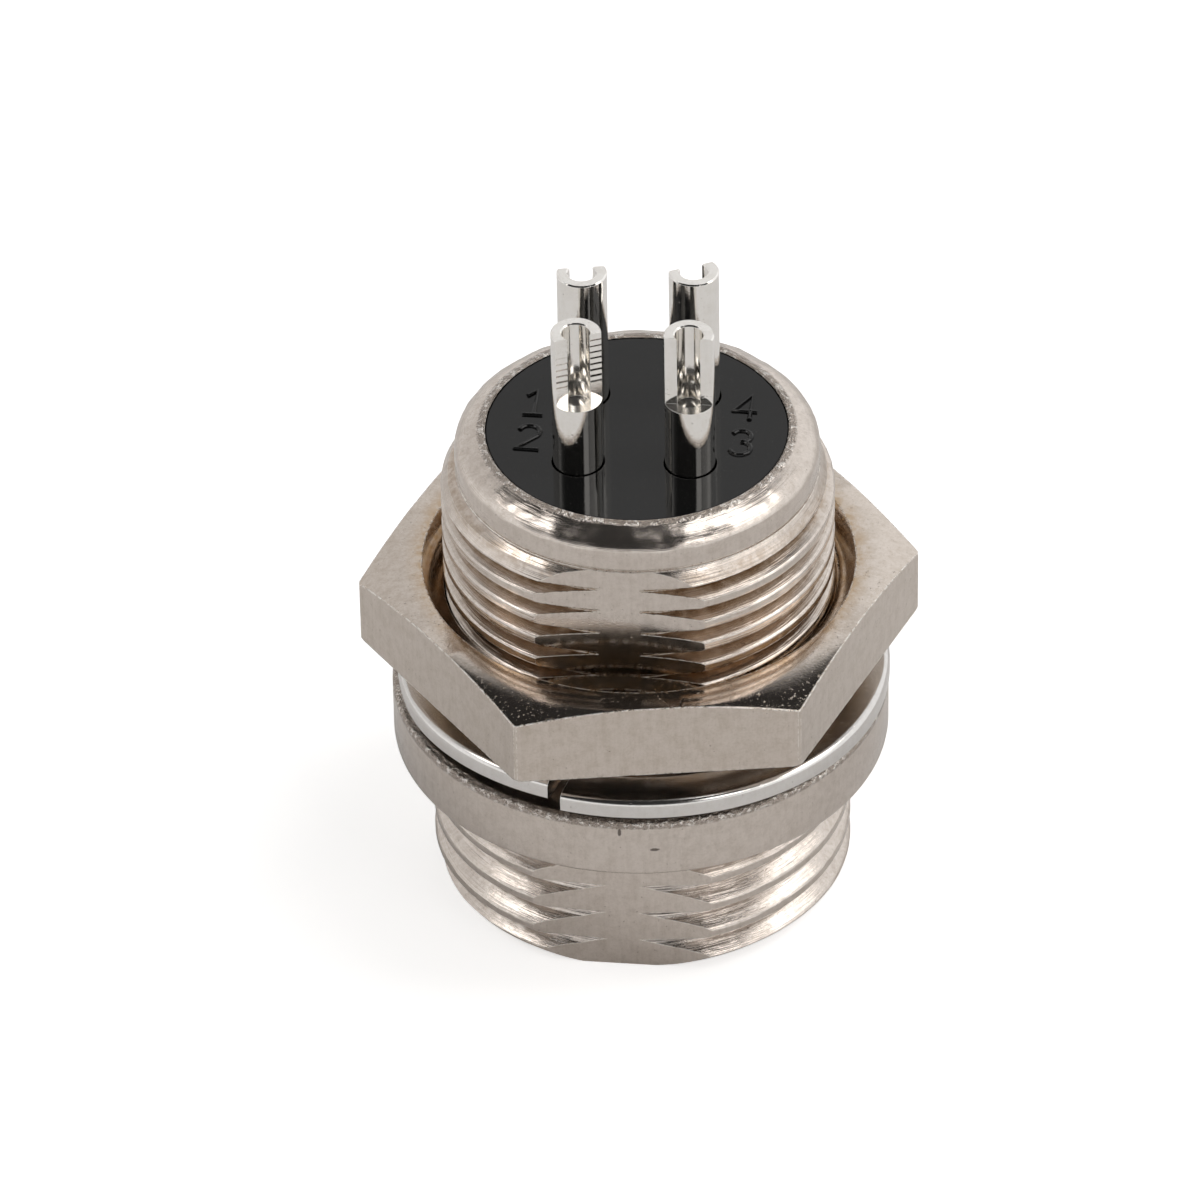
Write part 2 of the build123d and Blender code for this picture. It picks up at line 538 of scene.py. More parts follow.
@dataclass(frozen=True)
class Plating:
    """Bright metal plating with mottling, tool lines, pits, dark specks, and softened edges with small
    nicks, lightened as wear and painted glints; some platings darken towards the axis, and rough rings
    carry painted shade.
    """

    name: str
    colour: Colour
    shade: Colour
    roughness: float
    roughness_swing: float
    # Edge colour: partly wear, partly painted glints
    wear_and_glint: Colour
    inward_darkening: Colour = GRIME_AND_SHADE
    inward_darkening_from: float = 0.0
    inward_darkening_full: float = 0.0
    edge_radius: float = 0.04
    nick_depth: float = 0.012
    line_depth: float = 0.0012
    pit_depth: float = 0.005
    line_roughness: float = 0.0
    sleeve_lines: float = 0.0
    level_roughness: float = 0.0
    level_depth: float = 0.0
    inside_roughness: float = 0.0
    marks: tuple[tuple[Colour, Colour], ...] = ()
    flat_distances: tuple[float, ...] = ()
    shaded_rough_rings: tuple[tuple[float, ...], ...] = ()
    ring_depth: float = 0.20

    def material(self) -> Material:
        """Builds the plating's material."""
        material, recipe = new_material(self.name)
        place = recipe.place()
        across, along, height = recipe.parts(place)
        radius = across.length_with(along)
        mottle = recipe.noise(place, 2.4, 4.0, 0.65)
        grain = recipe.noise(place, 11.0, 3.0, 0.6)
        streaks = recipe.noise(recipe.scaled(place, (5.0, 5.0, 0.6)), 1.2, 4.0, 0.65)
        ring_place = recipe.joined(radius * 1.5, radius * 0.3, height)
        lines = recipe.noise(recipe.scaled(ring_place, (6.0, 1.0, 9.0)), 1.0, 3.0, 0.65)
        tint = mottle.rise(0.38, 0.66) * 0.35 + grain.rise(0.4, 0.75) * 0.3 + streaks.rise(0.4, 0.7) * 0.25
        colour = recipe.mixed(tint, self.colour, self.shade)
        plain = recipe.outward()
        _, sideways, upward = recipe.parts(plain)
        on_flat: Number = 0.0
        for distance in self.flat_distances:
            on_flat = on_flat + abs(abs(along) - distance).rise(0.03, 0.01)
        on_flat = on_flat * abs(sideways).rise(0.985, 0.995)
        for spot, stretch in self.marks:
            ragged = recipe.apart(place, spot, stretch) + (grain - 0.5) * 0.12
            colour = recipe.mixed(ragged.rise(0.11, 0.06) * 0.8, colour, SCRATCH)
        # Darker colour towards the axis, off the flats and below the collar: painted shade in the shell's
        # thread grooves and cavity, golden-brown on the nut towards its bore
        if self.inward_darkening_from:
            darkened_inward = radius.rise(self.inward_darkening_from, self.inward_darkening_full) * (1 - on_flat)
            darkened_inward = darkened_inward * height.rise(COLLAR_BASE, COLLAR_BASE - 0.5)
            colour = recipe.mixed(darkened_inward * (0.3 + mottle.rise(0.35, 0.65) * 0.6), colour, self.inward_darkening)
        specks = recipe.noise(place, 7.5, 2.0, 0.5).rise(0.70, 0.78)
        colour = recipe.mixed(specks * 0.6, colour, GRIME_AND_SHADE)

        normal = recipe.rounded(self.edge_radius)
        edge = recipe.likeness(normal, plain).rise(0.998, 0.96)
        nicks = recipe.noise(place, 4.5, 2.0, 0.75)
        # Painted glints with wear: the softened edges turn lighter where the nick noise is high
        colour = recipe.mixed(edge * nicks.rise(0.42, 0.58) * 0.85, colour, self.wear_and_glint)
        rough = self.roughness + self.roughness_swing * (mottle.rise(0.3, 0.7) * 0.6 + grain * 0.4)
        rough = rough + edge * nicks.rise(0.3, 0.6) * 0.35 + (1 - on_flat) * self.line_roughness
        if self.inside_roughness:
            rough = rough + recipe.inside() * self.inside_roughness
        if self.level_roughness:
            rough = rough + upward.rise(0.8, 0.95) * self.level_roughness
        on_sleeve = height.rise(MATING_LENGTH, MATING_LENGTH - 0.3)
        lines = lines * (1 - on_flat) * (1 + on_sleeve * self.sleeve_lines)
        normal = recipe.bumped(lines, self.line_depth, normal)
        pits = recipe.noise(place, 5.5, 2.0, 0.5).rise(0.66, 0.78)
        normal = recipe.bumped(grain * 0.5 - pits, self.pit_depth, normal)
        normal = recipe.mixed(edge, normal, recipe.bumped(nicks, self.nick_depth, normal))
        rubble = recipe.noise(place, 4.2, 3.0, 0.7)
        if self.level_depth:
            crumbs = recipe.noise(place, 7.5, 3.0, 0.75)
            crumbs = crumbs.rise(0.63, 0.74) * upward.rise(0.5, 0.9)
            normal = recipe.bumped(crumbs, self.level_depth, normal)
        # Rough rings: bumped, darkened as painted shade with grime, and dotted with painted glints
        for middle, reach, low, high in self.shaded_rough_rings:
            ring = abs(radius - middle).rise(reach, reach * 0.5)
            ring = ring * abs(height - (low + high) / 2).rise((high - low) / 2, (high - low) / 4)
            normal = recipe.bumped((rubble - 0.5) * ring, self.ring_depth, normal)
            colour = recipe.mixed(ring * 0.55, colour, GRIME_AND_SHADE)
            colour = recipe.mixed(ring * rubble.rise(0.5, 0.62) * 0.7, colour, self.wear_and_glint)
        sockets = {"Metallic": 1.0, "Base Color": colour, "Roughness": rough, "Normal": normal}
        close_material(recipe, sockets)
        return material


@dataclass(frozen=True)
class BlackMoulding:
    """Glossy black thermoset with a faint flow texture."""

    name: str
    colour: Colour = (0.007, 0.007, 0.007)
    dusty: Colour = (0.05, 0.048, 0.045)
    roughness: float = 0.045
    refraction: float = 1.37
    edge_radius: float = 0.03

    def material(self) -> Material:
        """Builds the moulding's material."""
        material, recipe = new_material(self.name)
        place = recipe.place()
        flow = recipe.noise(place, 1.3, 3.0, 0.5)
        dust = recipe.noise(place, 14.0, 2.0, 0.5)
        colour = recipe.mixed(dust.rise(0.66, 0.76) * 0.5, self.colour, self.dusty)
        rough = self.roughness + flow * 0.04 + dust.rise(0.62, 0.8) * 0.15
        normal = recipe.bumped(flow, 0.003, recipe.rounded(self.edge_radius))
        sockets = {"IOR": self.refraction, "Base Color": colour, "Roughness": rough, "Normal": normal}
        close_material(recipe, sockets)
        return material


NICKEL = Plating(
    name="nickel_plated_casting",
    colour=(0.70, 0.635, 0.58),
    shade=(0.52, 0.455, 0.40),
    roughness=0.09,
    roughness_swing=0.09,
    wear_and_glint=(0.92, 0.88, 0.83),
    # Painted shade: darker brown in the thread grooves and the cavity
    inward_darkening=(0.36, 0.26, 0.17),
    inward_darkening_from=7.37,
    inward_darkening_full=6.85,
    edge_radius=0.045,
    line_depth=0.018,
    line_roughness=0.06,
    sleeve_lines=0.6,
    nick_depth=0.04,
    pit_depth=0.003,
    marks=(
        ((0.19, -9.448, 8.26), (1.3, 1.0, 0.5)),
        ((1.5, -9.33, 7.42), (0.45, 1.0, 1.3)),
    ),
    flat_distances=(6.68, 7.24),
    # Rough rings at the lip's inner edge and on the flange's rim under the washer: painted shade with
    # grime, and painted glints
    shaded_rough_rings=((5.75, 0.30, 19.75, 20.35), (9.35, 0.30, 8.35, 8.85)),
)
NUT_NICKEL = Plating(
    name="nickel_plated_nut",
    colour=(0.68, 0.61, 0.55),
    shade=(0.51, 0.44, 0.37),
    roughness=0.07,
    roughness_swing=0.08,
    wear_and_glint=(0.95, 0.92, 0.88),
    # Golden-brown, darker towards the bore
    inward_darkening=(0.48, 0.32, 0.16),
    inward_darkening_from=9.0,
    inward_darkening_full=7.9,
    edge_radius=0.10,
    nick_depth=0.12,
    level_depth=0.007,
)
SPRING_PLATE = Plating(
    name="plated_spring_steel",
    colour=(0.76, 0.74, 0.72),
    shade=(0.68, 0.65, 0.62),
    roughness=0.09,
    roughness_swing=0.10,
    wear_and_glint=(0.95, 0.93, 0.90),
    edge_radius=0.03,
    level_roughness=0.07,
)
SILVER = Plating(
    name="silver_plating",
    colour=(0.93, 0.91, 0.88),
    shade=(0.84, 0.81, 0.76),
    roughness=0.04,
    roughness_swing=0.06,
    wear_and_glint=(0.97, 0.95, 0.92),
    edge_radius=0.02,
    nick_depth=0.006,
    line_depth=0.0008,
    pit_depth=0.002,
    level_roughness=0.14,
    inside_roughness=0.04,
)
MOULDING = BlackMoulding(name="black_thermoset")


# Pieces


@dataclass
class Shell:
    """Die-cast shell: mating sleeve, flange, rear barrel and the lip rolled over the insulator."""

    mating_radius: float = 8.0
    mating_root: float = 7.40
    mating_corner: float = 7.264
    mating_flat: float = 7.24
    mating_lead_in: float = 0.6
    mating_pitch: float = 1.31
    mating_groove: float = 2.30
    run_out_base: float = 5.25
    run_out_slope: float = 1.6
    face_margin: float = 0.25
    flange_radius: float = 9.45
    flange_lower_round: float = 0.25
    flange_upper_round: float = 0.17
    rear_radius: float = 7.4
    rear_root: float = 6.72
    rear_flat: float = 6.68
    rear_pitch: float = 1.0
    rear_groove: float = 16.55
    run_in_base: float = 17.65
    collar_radius: float = 6.83
    collar_swell: float = 0.02
    neck_rises: tuple[float, ...] = (0.03, 0.07, 0.15)
    lip_inner_radius: float = 5.68
    lip_edge: float = 0.07
    lip_edge_height: float = 0.08
    lip_wall: float = 0.6
    dome_base: float = 19.3
    dome_steps: int = 12
    dome_fullness: float = 0.68
    neck_depth: float = 0.11
    dents: tuple[Point, ...] = ((0.030, 0.9), (0.014, 2.6))
    cavity_radius: float = 6.3
    cavity_lead_in: float = 0.3
    cavity_depth: float = 8.4
    shoulder_radius: float = 5.3
    shoulder_top: float = 9.4
    pocket_radius: float = 6.1
    key_width: float = 1.8
    key_height: float = 0.7
    key_setback: float = 1.2
    key_root: float = 0.3
    key_round: float = 0.08
    key_overlap: float = 0.2
    unevenness: float = 0.012

    def rear_thread(self) -> Thread:
        """Thread of the rear barrel, with lands, flanks and a narrow root."""
        mouth, land, root = 0.32, self.rear_pitch / 2, 0.05
        crest, ease = self.rear_radius, 0.035
        side = [
            (self.rear_root, root),
            (crest - 2 * ease, mouth - ease),
            (crest - ease / 2, mouth + ease / 2),
            (crest, mouth + 1.6 * ease),
            (crest, land),
        ]
        return Thread(self.rear_pitch, mirrored(side), self.rear_groove, self.unevenness)

    def mating_thread(self) -> Thread:
        """Thread of the mating sleeve: wide grooves whose upper corner is the deeper one."""
        crest, half = self.mating_radius, self.mating_pitch / 2
        outline = (
            (crest, -half),
            (crest, -0.56),
            (crest - 0.02, -0.51),
            (crest - 0.07, -0.45),
            (crest - 0.17, -0.36),
            (self.mating_root, -0.02),
            (self.mating_corner, 0.20),
            (self.mating_corner + 0.03, 0.25),
            (crest - 0.17, 0.39),
            (crest - 0.07, 0.44),
            (crest - 0.02, 0.49),
            (crest, 0.54),
            (crest, half),
        )
        return Thread(self.mating_pitch, outline, self.mating_groove, self.unevenness)

    def rear_limit(self, radius: float, height: float) -> float:
        """Radius of the rear thread inside its run-in cone."""
        slope = (self.rear_radius - self.collar_radius) / (COLLAR_BASE - self.run_in_base)
        return min(radius, self.rear_radius - max(0.0, height - self.run_in_base) * slope)

    def mating_limit(self, radius: float, height: float) -> float:
        """Radius of the mating thread inside its lead-in and outside its run-out."""
        lead_in = self.mating_radius - max(0.0, self.mating_lead_in - height)
        run_out = self.mating_corner + max(0.0, height - self.run_out_base) * self.run_out_slope
        return max(min(radius, lead_in), min(run_out, self.mating_radius))

    def flange_outline(self) -> list[Point]:
        """Outline of the flange between the two threads."""
        outline = [
            (self.mating_radius + self.face_margin, MATING_LENGTH),
            (self.flange_radius, MATING_LENGTH),
            (self.flange_radius, FLANGE_TOP),
            (self.rear_radius + self.face_margin, FLANGE_TOP),
        ]
        return eased(outline, {1: self.flange_lower_round, 2: self.flange_upper_round}, 5)

    def inner_outline(self) -> list[Point]:
        """Outline from the collar over the rolled lip and down the inside to the mating rim."""
        lip = self.lip_inner_radius
        collar = self.collar_radius + self.collar_swell
        neck = collar - self.neck_depth
        neck_low, neck_high, neck_end = (COLLAR_BASE + rise for rise in self.neck_rises)
        outline = [
            (collar, COLLAR_BASE),
            (neck, neck_low),
            (neck, neck_high),
            (collar, neck_end),
            *self.dome(collar),
            (lip, LIP_TOP - self.lip_edge_height),
            (lip + 0.02, INSULATOR_FACE - self.lip_edge_height),
            (self.pocket_radius, INSULATOR_FACE - self.lip_wall),
            (self.pocket_radius, self.shoulder_top),
            (self.shoulder_radius, self.shoulder_top),
            (self.shoulder_radius, self.cavity_depth),
            (self.cavity_radius, self.cavity_depth),
            (self.cavity_radius, self.cavity_lead_in),
            (self.cavity_radius + self.cavity_lead_in, 0.0),
        ]
        return eased(outline, {len(outline) - 4: 0.1}, 6)

    def dome(self, collar: float) -> list[Point]:
        """Rolled lip from the collar to its inner edge, between a quarter of an ellipse and a slope."""
        middle = self.lip_inner_radius + self.lip_edge
        points = []
        for step in range(self.dome_steps + 1):
            turn = math.pi / 2 * step / self.dome_steps
            share = self.dome_fullness * math.sin(turn) + (1 - self.dome_fullness) * (1 - math.cos(turn))
            rise = (LIP_TOP - 0.02 - self.dome_base) * share
            points.append((middle + (collar - middle) * math.cos(turn), self.dome_base + rise))
        return points

    def build(self, material: Material) -> Object:
        """Builds the shell as one closed piece."""
        mesh = bmesh.new()
        spin_outline(mesh, self.flange_outline())
        spin_outline(mesh, self.inner_outline())
        self._dent_lip(mesh)
        threads = (
            (self.mating_thread(), self.mating_flat, 0.0, MATING_LENGTH, self.mating_limit),
            (self.rear_thread(), self.rear_flat, FLANGE_TOP, COLLAR_BASE, self.rear_limit),
        )
        for thread, flat, low, high, limit in threads:
            wound = thread.wind(low, high, limit)
            mill_flat(wound, flat, -1, low, high)
            mill_flat(wound, flat, 1, low, high)
            absorb(mesh, wound)
        for height in (0.0, MATING_LENGTH, FLANGE_TOP, COLLAR_BASE):
            fill_level(mesh, height)
        self._add_key(mesh)
        return finish_piece(mesh, "nickel_shell", Body.SHELL, material, ("shell",), crease=19.0)

    def _dent_lip(self, mesh: Mesh) -> None:
        """Gives the rolled lip the low dents of the rolling tool."""
        for corner in mesh.verts:
            radius = math.hypot(corner.co.x, corner.co.y)
            share = min(1.0, max(0.0, (corner.co.z - self.dome_base) / 0.2))
            if share > 0 and radius > self.lip_inner_radius + 0.03:
                dent = sum(depth * noise.noise(corner.co * scale) for depth, scale in self.dents)
                corner.co.x *= 1 + dent * share / radius
                corner.co.y *= 1 + dent * share / radius
                corner.co.z += min(dent * share, LIP_TOP - corner.co.z)

    def _add_key(self, mesh: Mesh) -> None:
        """Adds the key rib on the cavity's +Y wall."""
        depth = self.key_height + self.key_root
        low = self.key_setback
        high = self.cavity_depth + self.key_overlap
        rib = bmesh.ops.create_cube(mesh, size=1.0)["verts"]
        bmesh.ops.scale(mesh, vec=(self.key_width, depth, high - low), verts=rib)
        centre = (0, self.cavity_radius + self.key_root - depth / 2, (low + high) / 2)
        bmesh.ops.translate(mesh, vec=centre, verts=rib)
        edges = list({line for corner in rib for line in corner.link_edges})
        bmesh.ops.bevel(
            mesh, geom=edges, offset=self.key_round, segments=2, profile=0.5, affect="EDGES", material=-1
        )


def mirrored(side: list[Point]) -> tuple[Point, ...]:
    """Outline of both sides of a groove from that of its upper side."""
    lower = [(radius, -rise) for radius, rise in reversed(side)]
    return tuple(lower + side)


@dataclass
class HexNut:
    """Hex nut with a crowned top, a dished mouth and its own thread."""

    across_flats: float = 18.4
    turned: float = 10.2
    top_face_radius: float = 9.25
    top_chamfer: float = 20.0
    bottom_face_radius: float = 10.5
    bottom_chamfer: float = 30.0
    dish_radius: float = 8.2
    bottom_mouth: float = 7.75
    corner_flat: float = 0.035
    minor_radius: float = 7.0
    groove_radius: float = 7.56
    blank_margin: float = 0.6
    mouth_margin: float = 0.04

    def thread(self, shell: Shell) -> Thread:
        """Inner thread, whose ridge lies in the middle of the shell's groove."""
        half, ridge_root, tip = shell.rear_pitch / 2, 0.33, 0.06
        side = [(self.minor_radius, tip), (self.groove_radius, ridge_root), (self.groove_radius, half)]
        return Thread(shell.rear_pitch, mirrored(side), shell.rear_groove, pieces=4)

    def mouth_limit(self, radius: float, height: float) -> float:
        """Radius of the bore outside its two mouths."""
        dish = self.dish_radius - (NUT_TOP - height)
        foot = self.bottom_mouth - (height - NUT_BOTTOM)
        return max(radius, dish, foot)

    def outer_outline(self) -> list[Point]:
        """Outline of the turned blank, from the dish over the crown to the foot."""
        reach = self.across_flats / math.sqrt(3) + self.blank_margin
        top_drop = (reach - self.top_face_radius) * math.tan(math.radians(self.top_chamfer))
        foot_rise = (reach - self.bottom_face_radius) * math.tan(math.radians(self.bottom_chamfer))
        return [
            (self.dish_radius + self.mouth_margin, NUT_TOP),
            (self.top_face_radius, NUT_TOP),
            (reach, NUT_TOP - top_drop),
            (reach, NUT_BOTTOM + foot_rise),
            (self.bottom_face_radius, NUT_BOTTOM),
            (self.bottom_mouth + self.mouth_margin, NUT_BOTTOM),
        ]

    def build(self, shell: Shell, material: Material) -> Object:
        """Builds the nut as one closed piece."""
        mesh = bmesh.new()
        spin_outline(mesh, self.outer_outline())
        corner = self.across_flats / math.sqrt(3)
        for first, distance in ((30, self.across_flats / 2), (0, corner - self.corner_flat)):
            for number in range(6):
                self._cut_side(mesh, 60 * number + first, distance)
        absorb(mesh, self.thread(shell).wind(NUT_BOTTOM, NUT_TOP, self.mouth_limit))
        for height in (NUT_BOTTOM, NUT_TOP):
            fill_level(mesh, height)
        return finish_piece(mesh, "nickel_nut", Body.NUT, material, ("hex_nut",))

    def _cut_side(self, mesh: Mesh, angle: float, distance: float) -> None:
        """Cuts one flat of the hexagon or the ease of one corner."""
        around = math.radians(angle + self.turned)
        outward = (math.cos(around), math.sin(around), 0.0)
        place = tuple(part * distance for part in outward)
        lines = only(Edge, cut_away(mesh, place, outward))
        if lines:
            fill_flat(mesh, lines)


@dataclass
class LockWasher:
    """Curved split washer: its front and back are raised, and one end by the split stands higher."""

    outer_radius: float = 9.37
    inner_radius: float = 7.75
    thickness: float = 0.8
    bow: float = 0.22
    split_width: float = 0.5
    split_angle: float = -105.0
    raised_end: float = 0.44
    raised_span: float = 64.0
    seat: float = FLANGE_TOP + 0.02
    edge_round: float = 0.09
    upper_round: float = 0.30
    shift: Point = (0.13, -0.05)

    def build(self, material: Material) -> Object:
        """Builds the washer as one closed piece."""
        mesh = bmesh.new()
        outline = [
            (self.inner_radius, 0.0),
            (self.outer_radius, 0.0),
            (self.outer_radius, self.thickness),
            (self.inner_radius, self.thickness),
        ]
        rounds = {number: self.edge_round for number in range(4)}
        outline = eased(outline, {**rounds, 2: self.upper_round}, 8)
        gap = self.split_width / self.outer_radius
        start = math.radians(self.split_angle) + gap / 2
        spin_outline(mesh, outline, start=start, angle=FULL_TURN - gap, closed=True)
        open_ends = [line for line in mesh.edges if line.is_boundary]
        bmesh.ops.holes_fill(mesh, edges=open_ends, sides=0)
        for corner in mesh.verts:
            corner.co.z = self._height(corner.co)
        bmesh.ops.translate(mesh, vec=(*self.shift, 0.0), verts=mesh.verts[:])
        return finish_piece(mesh, "spring_washer", Body.WASHER, material, ("lock_washer",))

    def _height(self, place: Vector) -> float:
        """Height of a point of the flat ring once the ring is bent."""
        bend = (self.outer_radius**2 + self.bow**2) / (2 * self.bow)
        radius = bend - place.z
        height = self.seat + bend - math.sqrt(radius**2 - place.y**2)
        turn = math.degrees(math.atan2(place.y, place.x)) - self.split_angle
        before_split = (-turn) % 360
        if before_split < self.raised_span:
            height += self.raised_end * (1 - (before_split / self.raised_span) ** 2)
        return height


@dataclass
class Contact:
    """One silver-plated contact: mating pin, collar and solder cup milled open to one side."""

    number: int
    facing: float
    chatter: float = 0.002
    drop: float = 0.0
    circle_radius: float = 2.95
    circle_turned: float = 3.3
    pin_radius: float = 0.8
    pin_recess: float = 1.6
    nose_radius: float = 0.4
    nose_length: float = 0.5
    nose_round: float = 0.15
    shoulder_round: float = 0.3
    collar_radius: float = 1.4
    collar_low: float = 12.4
    collar_high: float = 13.6
    tail_radius: float = 0.94
    bore_radius: float = 0.525
    bore_depth: float = 3.3
    drill_point: float = 0.31
    cut_from_axis: float = 0.3
    edge_round: float = 0.05
    countersink: float = 0.05
    chatter_pitch: float = 0.27
    chatter_low: float = 0.85
    chatter_high: float = 3.0
    fainter_side: float = 0.6
    rows: int = 54

    @property
    def top(self) -> float:
        """Height of the cup's rim."""
        return CUP_TOP - self.drop

    @property
    def ledge(self) -> float:
        """Height of the milled ledge."""
        return CUP_LEDGE - self.drop

    def build(self, material: Material) -> Object:
        """Builds the contact as one closed piece."""
        mesh = self._cup_wall()
        steps = TURN_STEPS // 2
        spin_outline(mesh, self._pin_outline(), steps=steps)
        floor = self.top - self.bore_depth
        bore = [(self.bore_radius, self.ledge), (self.bore_radius, floor), (0.0, floor - self.drill_point)]
        spin_outline(mesh, bore, steps=steps)
        bmesh.ops.remove_doubles(mesh, verts=mesh.verts[:], dist=WELD)
        fill_level(mesh, self.ledge)
        marked = mesh.verts.layers.float.new(INSIDE)
        for corner in mesh.verts:
            if math.hypot(corner.co.x, corner.co.y) < self.bore_radius + 0.01 and corner.co.z > floor - 1:
                corner[marked] = 1.0
        around = math.radians(45 + 90 * self.number + self.circle_turned)
        place = Vector((math.cos(around), math.sin(around), 0)) * self.circle_radius
        turn = Matrix.Rotation(math.radians(self.facing), 4, "Z")
        bmesh.ops.transform(mesh, matrix=Matrix.Translation(place) @ turn, verts=mesh.verts[:])
        name = f"silver_contact_{self.number}"
        return finish_piece(mesh, name, Body.SHELL, material, (f"contact_{self.number}",))

    def _pin_outline(self) -> list[Point]:
        """Outline of the contact below the milled cup, from the nose of its pin."""
        outline = [
            (0.0, self.pin_recess),
            (self.nose_radius, self.pin_recess),
            (self.pin_radius, self.pin_recess + self.nose_length),
            (self.pin_radius, self.collar_low),
            (self.collar_radius, self.collar_low),
            (self.collar_radius, self.collar_high),
            (self.tail_radius, self.collar_high),
            (self.tail_radius, self.ledge),
        ]
        return eased(outline, {1: self.nose_round, 2: self.shoulder_round}, 4)

    def _cup_wall(self) -> Mesh:
        """Wall of the cup above the ledge, milled away on the +X side."""
        mesh = bmesh.new()
        spacing = (self.top - self.edge_round - self.ledge) / self.rows
        heights = [self.ledge + spacing * row for row in range(self.rows + 1)]
        outline = [(self.tail_radius, height) for height in heights]
        outline.append((self.tail_radius - self.edge_round, self.top))
        outline.append((self.bore_radius + self.countersink, self.top))
        mouth = self.top - self.countersink
        outline += [(self.bore_radius + max(0.0, height - mouth), height) for height in reversed(heights)]
        spin_outline(mesh, outline, steps=TURN_STEPS // 2)
        cut = cut_away(mesh, (self.cut_from_axis, 0, 0), (1, 0, 0))
        corners = only(Corner, cut)
        for side in (-1, 1):
            feet = [end for end in corners if end.co.y * side > 0 and lies_at(end, self.ledge)]
            foot = mesh.edges.new(feet[:2])
            edges = [line for line in only(Edge, cut) if line.verts[0].co.y * side > 0]
            fill_flat(mesh, edges + [foot])
        for corner in corners:
            above = corner.co.z - self.ledge
            if self.chatter_low < above < self.chatter_high:
                wave = math.sin(FULL_TURN * above / self.chatter_pitch)
                corner.co.x += self.chatter * (1.0 if corner.co.y > 0 else self.fainter_side) * wave
        return mesh


CONTACTS = (
    Contact(1, facing=101.0, drop=0.3),
    Contact(2, facing=-66.0, chatter=0.010),
    Contact(3, facing=-89.0),
    Contact(4, facing=115.0, drop=0.15),
)


def arc(middle: Point, radius: float, first: float, last: float, steps: int = 12) -> list[Point]:
    """Points along an arc between two angles in degrees."""
    points = []
    for step in range(steps + 1):
        turn = math.radians(first + (last - first) * step / steps)
        points.append((middle[0] + radius * math.cos(turn), middle[1] + radius * math.sin(turn)))
    return points


@dataclass
class Numerals:
    """Raised contact numbers moulded on the rear insulator, each made of round-backed strokes."""

    half_width: float = 0.105
    rise: float = 0.095
    places: tuple[Point, ...] = ((-4.02, 1.19), (-3.97, -0.95), (3.97, -0.55), (3.93, 1.62))

    @staticmethod
    def strokes() -> tuple[list[list[Point]], ...]:
        """Strokes of each number about its middle."""
        return (
            [[(-0.26, 0.44), (0.08, 0.76), (0.08, -0.72)], [(-0.34, -0.72), (0.42, -0.72)]],
            [arc((0.0, 0.36), 0.39, 165, -42) + [(-0.42, -0.72), (0.46, -0.72)]],
            [arc((-0.02, 0.37), 0.36, 155, -90), arc((-0.02, -0.36), 0.40, 90, -155)],
            [[(0.20, -0.76), (0.20, 0.74), (-0.44, -0.26), (0.46, -0.26)]],
        )

    def build(self, material: Material) -> Object:
        """Builds the four numbers as one piece."""
        mesh = bmesh.new()
        for place, strokes in zip(self.places, self.strokes()):
            for points in strokes:
                self._add_stroke(mesh, place, points)
        return finish_piece(mesh, "moulded_numbers", Body.SHELL, material)

    def _add_stroke(self, mesh: Mesh, place: Point, points: list[Point]) -> None:
        """Adds one stroke, half sunk in the insulator's face."""
        path = bpy.data.curves.new("stroke", "CURVE")
        path.dimensions = "3D"
        path.bevel_depth = self.half_width
        path.bevel_resolution = 3
        path.use_fill_caps = True
        line = path.splines.new("POLY")
        line.points.add(len(points) - 1)
        for corner, (across, along) in zip(line.points, points):
            corner.co = (across, along, 0.0, 1.0)
        carrier = add_object("stroke", path)
        bpy.context.view_layer.update()
        data = bpy.data.meshes.new_from_object(carrier)
        flat = Matrix.Diagonal((1.0, 1.0, self.rise / self.half_width, 1.0))
        data.transform(Matrix.Translation((*place, INSULATOR_FACE)) @ flat)
        mesh.from_mesh(data)
        bpy.data.objects.remove(carrier)
        bpy.data.curves.remove(path)
        bpy.data.meshes.remove(data)


# Studio


@dataclass(frozen=True)
class Patch:
    """Round patch of the room: turn from the camera, rise and reaches in degrees, and its light."""

    turn: float
    rise: float
    outer: float
    inner: float
    level: float

    def cover(self, recipe: Recipe, direction: Wire, azimuth: float) -> Wire:
        """1 within the inner reach and 0 beyond the outer one."""
        around = math.radians(azimuth + self.turn)
        rise = math.radians(self.rise)
        flat = math.cos(rise)
        middle = (math.sin(around) * flat, -math.cos(around) * flat, math.sin(rise))
        nearness = recipe.likeness(direction, middle)
        return nearness.rise(math.cos(math.radians(self.outer)), math.cos(math.radians(self.inner)))


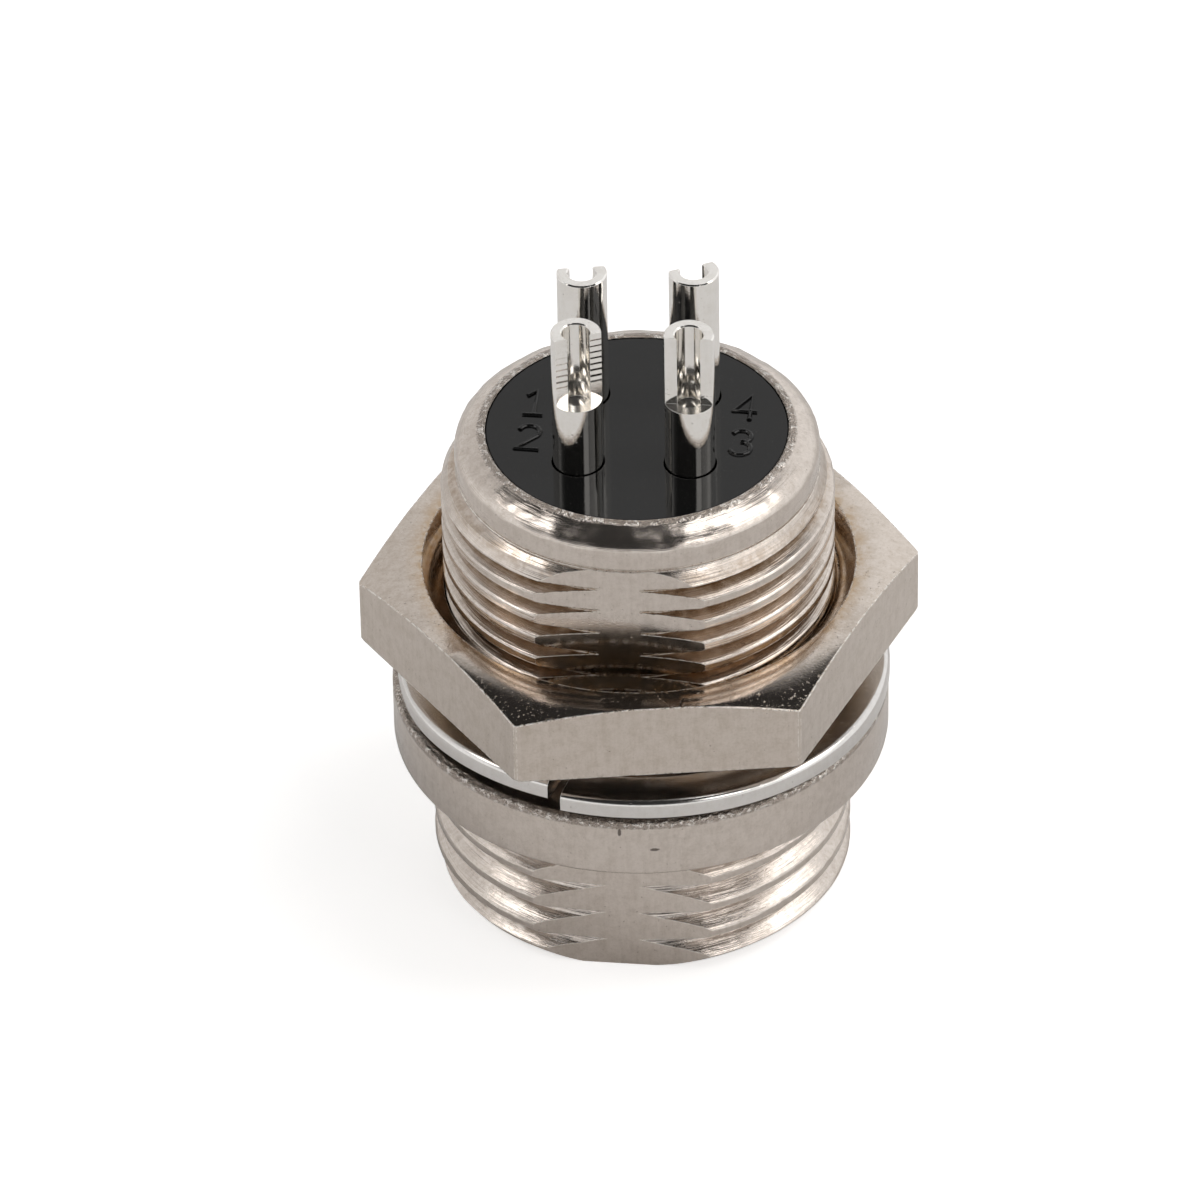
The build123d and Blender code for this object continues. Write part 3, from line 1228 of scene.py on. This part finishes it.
@dataclass
class Studio:
    """Camera, floor and the light around the connector."""

    azimuth: float = 6.8
    elevation: float = 38.0
    roll: float = -1.05
    distance: float = 375.0
    lens: float = 291.25
    aim_right: float = -1.667
    aim_up: float = 9.379
    floor_size: float = 6.0
    floor_colour: Colour = (0.86, 0.852, 0.845)
    floor_glow: float = 0.58
    sensor_width: float = 36.0
    near_clip: float = 0.01
    tint: Colour = (1.0, 0.985, 0.97)
    patches: tuple[Patch, ...] = (
        Patch(-140.0, 36.0, 48.0, 15.0, 0.70),
        Patch(0.0, 75.0, 62.0, 46.0, 0.029),
        Patch(-92.0, 50.0, 15.0, 6.0, 3.2),
        Patch(39.0, 38.0, 12.0, 7.0, 2.8),
        Patch(62.0, 30.0, 13.0, 7.0, 1.5),
        Patch(80.0, 31.0, 16.0, 8.0, 1.6),
        Patch(95.0, 50.0, 18.0, 10.0, 3.0),
        Patch(95.0, 68.0, 14.0, 8.0, 3.4),
    )

    def place_camera(self) -> None:
        """Places the camera where the photograph was taken from."""
        rise = math.radians(self.elevation)
        ahead = Vector((0.0, math.cos(rise), -math.sin(rise)))
        right = Vector((1.0, 0.0, 0.0))
        up = right.cross(ahead)
        roll = math.radians(self.roll)
        rolled_right = right * math.cos(roll) + up * math.sin(roll)
        rolled_up = up * math.cos(roll) - right * math.sin(roll)
        target = rolled_right * self.aim_right + rolled_up * self.aim_up
        pose = Matrix((rolled_right, rolled_up, -ahead)).transposed().to_4x4()
        pose.translation = (target - ahead * self.distance) * METRES
        data = bpy.data.cameras.new("camera")
        data.lens = self.lens
        data.sensor_width = self.sensor_width
        data.clip_start = self.near_clip
        camera = add_object("camera", data)
        camera.matrix_world = Matrix.Rotation(math.radians(self.azimuth), 4, "Z") @ pose
        bpy.context.scene.camera = camera

    def lay_floor(self) -> None:
        """Lays a pale floor that keeps the object's shadow."""
        mesh = bmesh.new()
        bmesh.ops.create_grid(mesh, x_segments=1, y_segments=1, size=self.floor_size / 2)
        data = bpy.data.meshes.new("floor")
        mesh.to_mesh(data)
        mesh.free()
        material, recipe = new_material("pale_floor")
        strength = recipe.seen() * self.floor_glow
        paint = recipe.node("BsdfDiffuse", {}, {"Color": (*self.floor_colour, 1.0)})
        glow = recipe.node("Emission", {}, {"Color": (1, 1, 1, 1), "Strength": strength})
        sum_shader = recipe.node("AddShader", {}, {0: paint, 1: glow})
        recipe.node("OutputMaterial", {}, {"Surface": sum_shader})
        data.materials.append(material)
        floor = add_object("floor", data)

    def light(self) -> None:
        """Lights the object with a white room that has a dark ceiling, a dim wall and soft boxes."""
        world = bpy.data.worlds.new("studio")
        bpy.context.scene.world = world
        world.use_nodes = True
        recipe = Recipe(world.node_tree)
        direction = recipe.node("TexCoord", {}, {}, "Generated")
        room: Any = (1.0, 1.0, 1.0)
        for patch in self.patches:
            cover = patch.cover(recipe, direction, self.azimuth)
            room = recipe.mixed(cover, room, tuple(patch.level * part for part in self.tint))
        colour = recipe.mixed(recipe.seen(), room, (1.0, 1.0, 1.0))
        background = recipe.node("Background", {}, {"Color": colour})
        recipe.node("OutputWorld", {}, {"Surface": background})

    def build(self) -> None:
        """Sets up the whole studio."""
        bpy.context.scene.view_settings.view_transform = "Standard"
        self.place_camera()
        self.lay_floor()
        self.light()


def dress_insulators(material: Material) -> None:
    """Gives both insulators, which keep their solid shapes, their finish."""
    for node in ("front_insulator", "rear_insulator"):
        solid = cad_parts[node]
        solid.data.materials.clear()
        solid.data.materials.append(material)
        LOG.info("%s: dressed", node)


def main() -> None:
    """Builds the studio and every piece of the connector."""
    logging.basicConfig(level=logging.INFO, format="%(name)s %(message)s")
    Studio().build()
    shell = Shell()
    shell.build(NICKEL.material())
    HexNut().build(shell, NUT_NICKEL.material())
    LockWasher().build(SPRING_PLATE.material())
    silver = SILVER.material()
    for contact in CONTACTS:
        contact.build(silver)
    moulding = MOULDING.material()
    dress_insulators(moulding)
    Numerals().build(moulding)


if __name__ == "__main__":
    main()
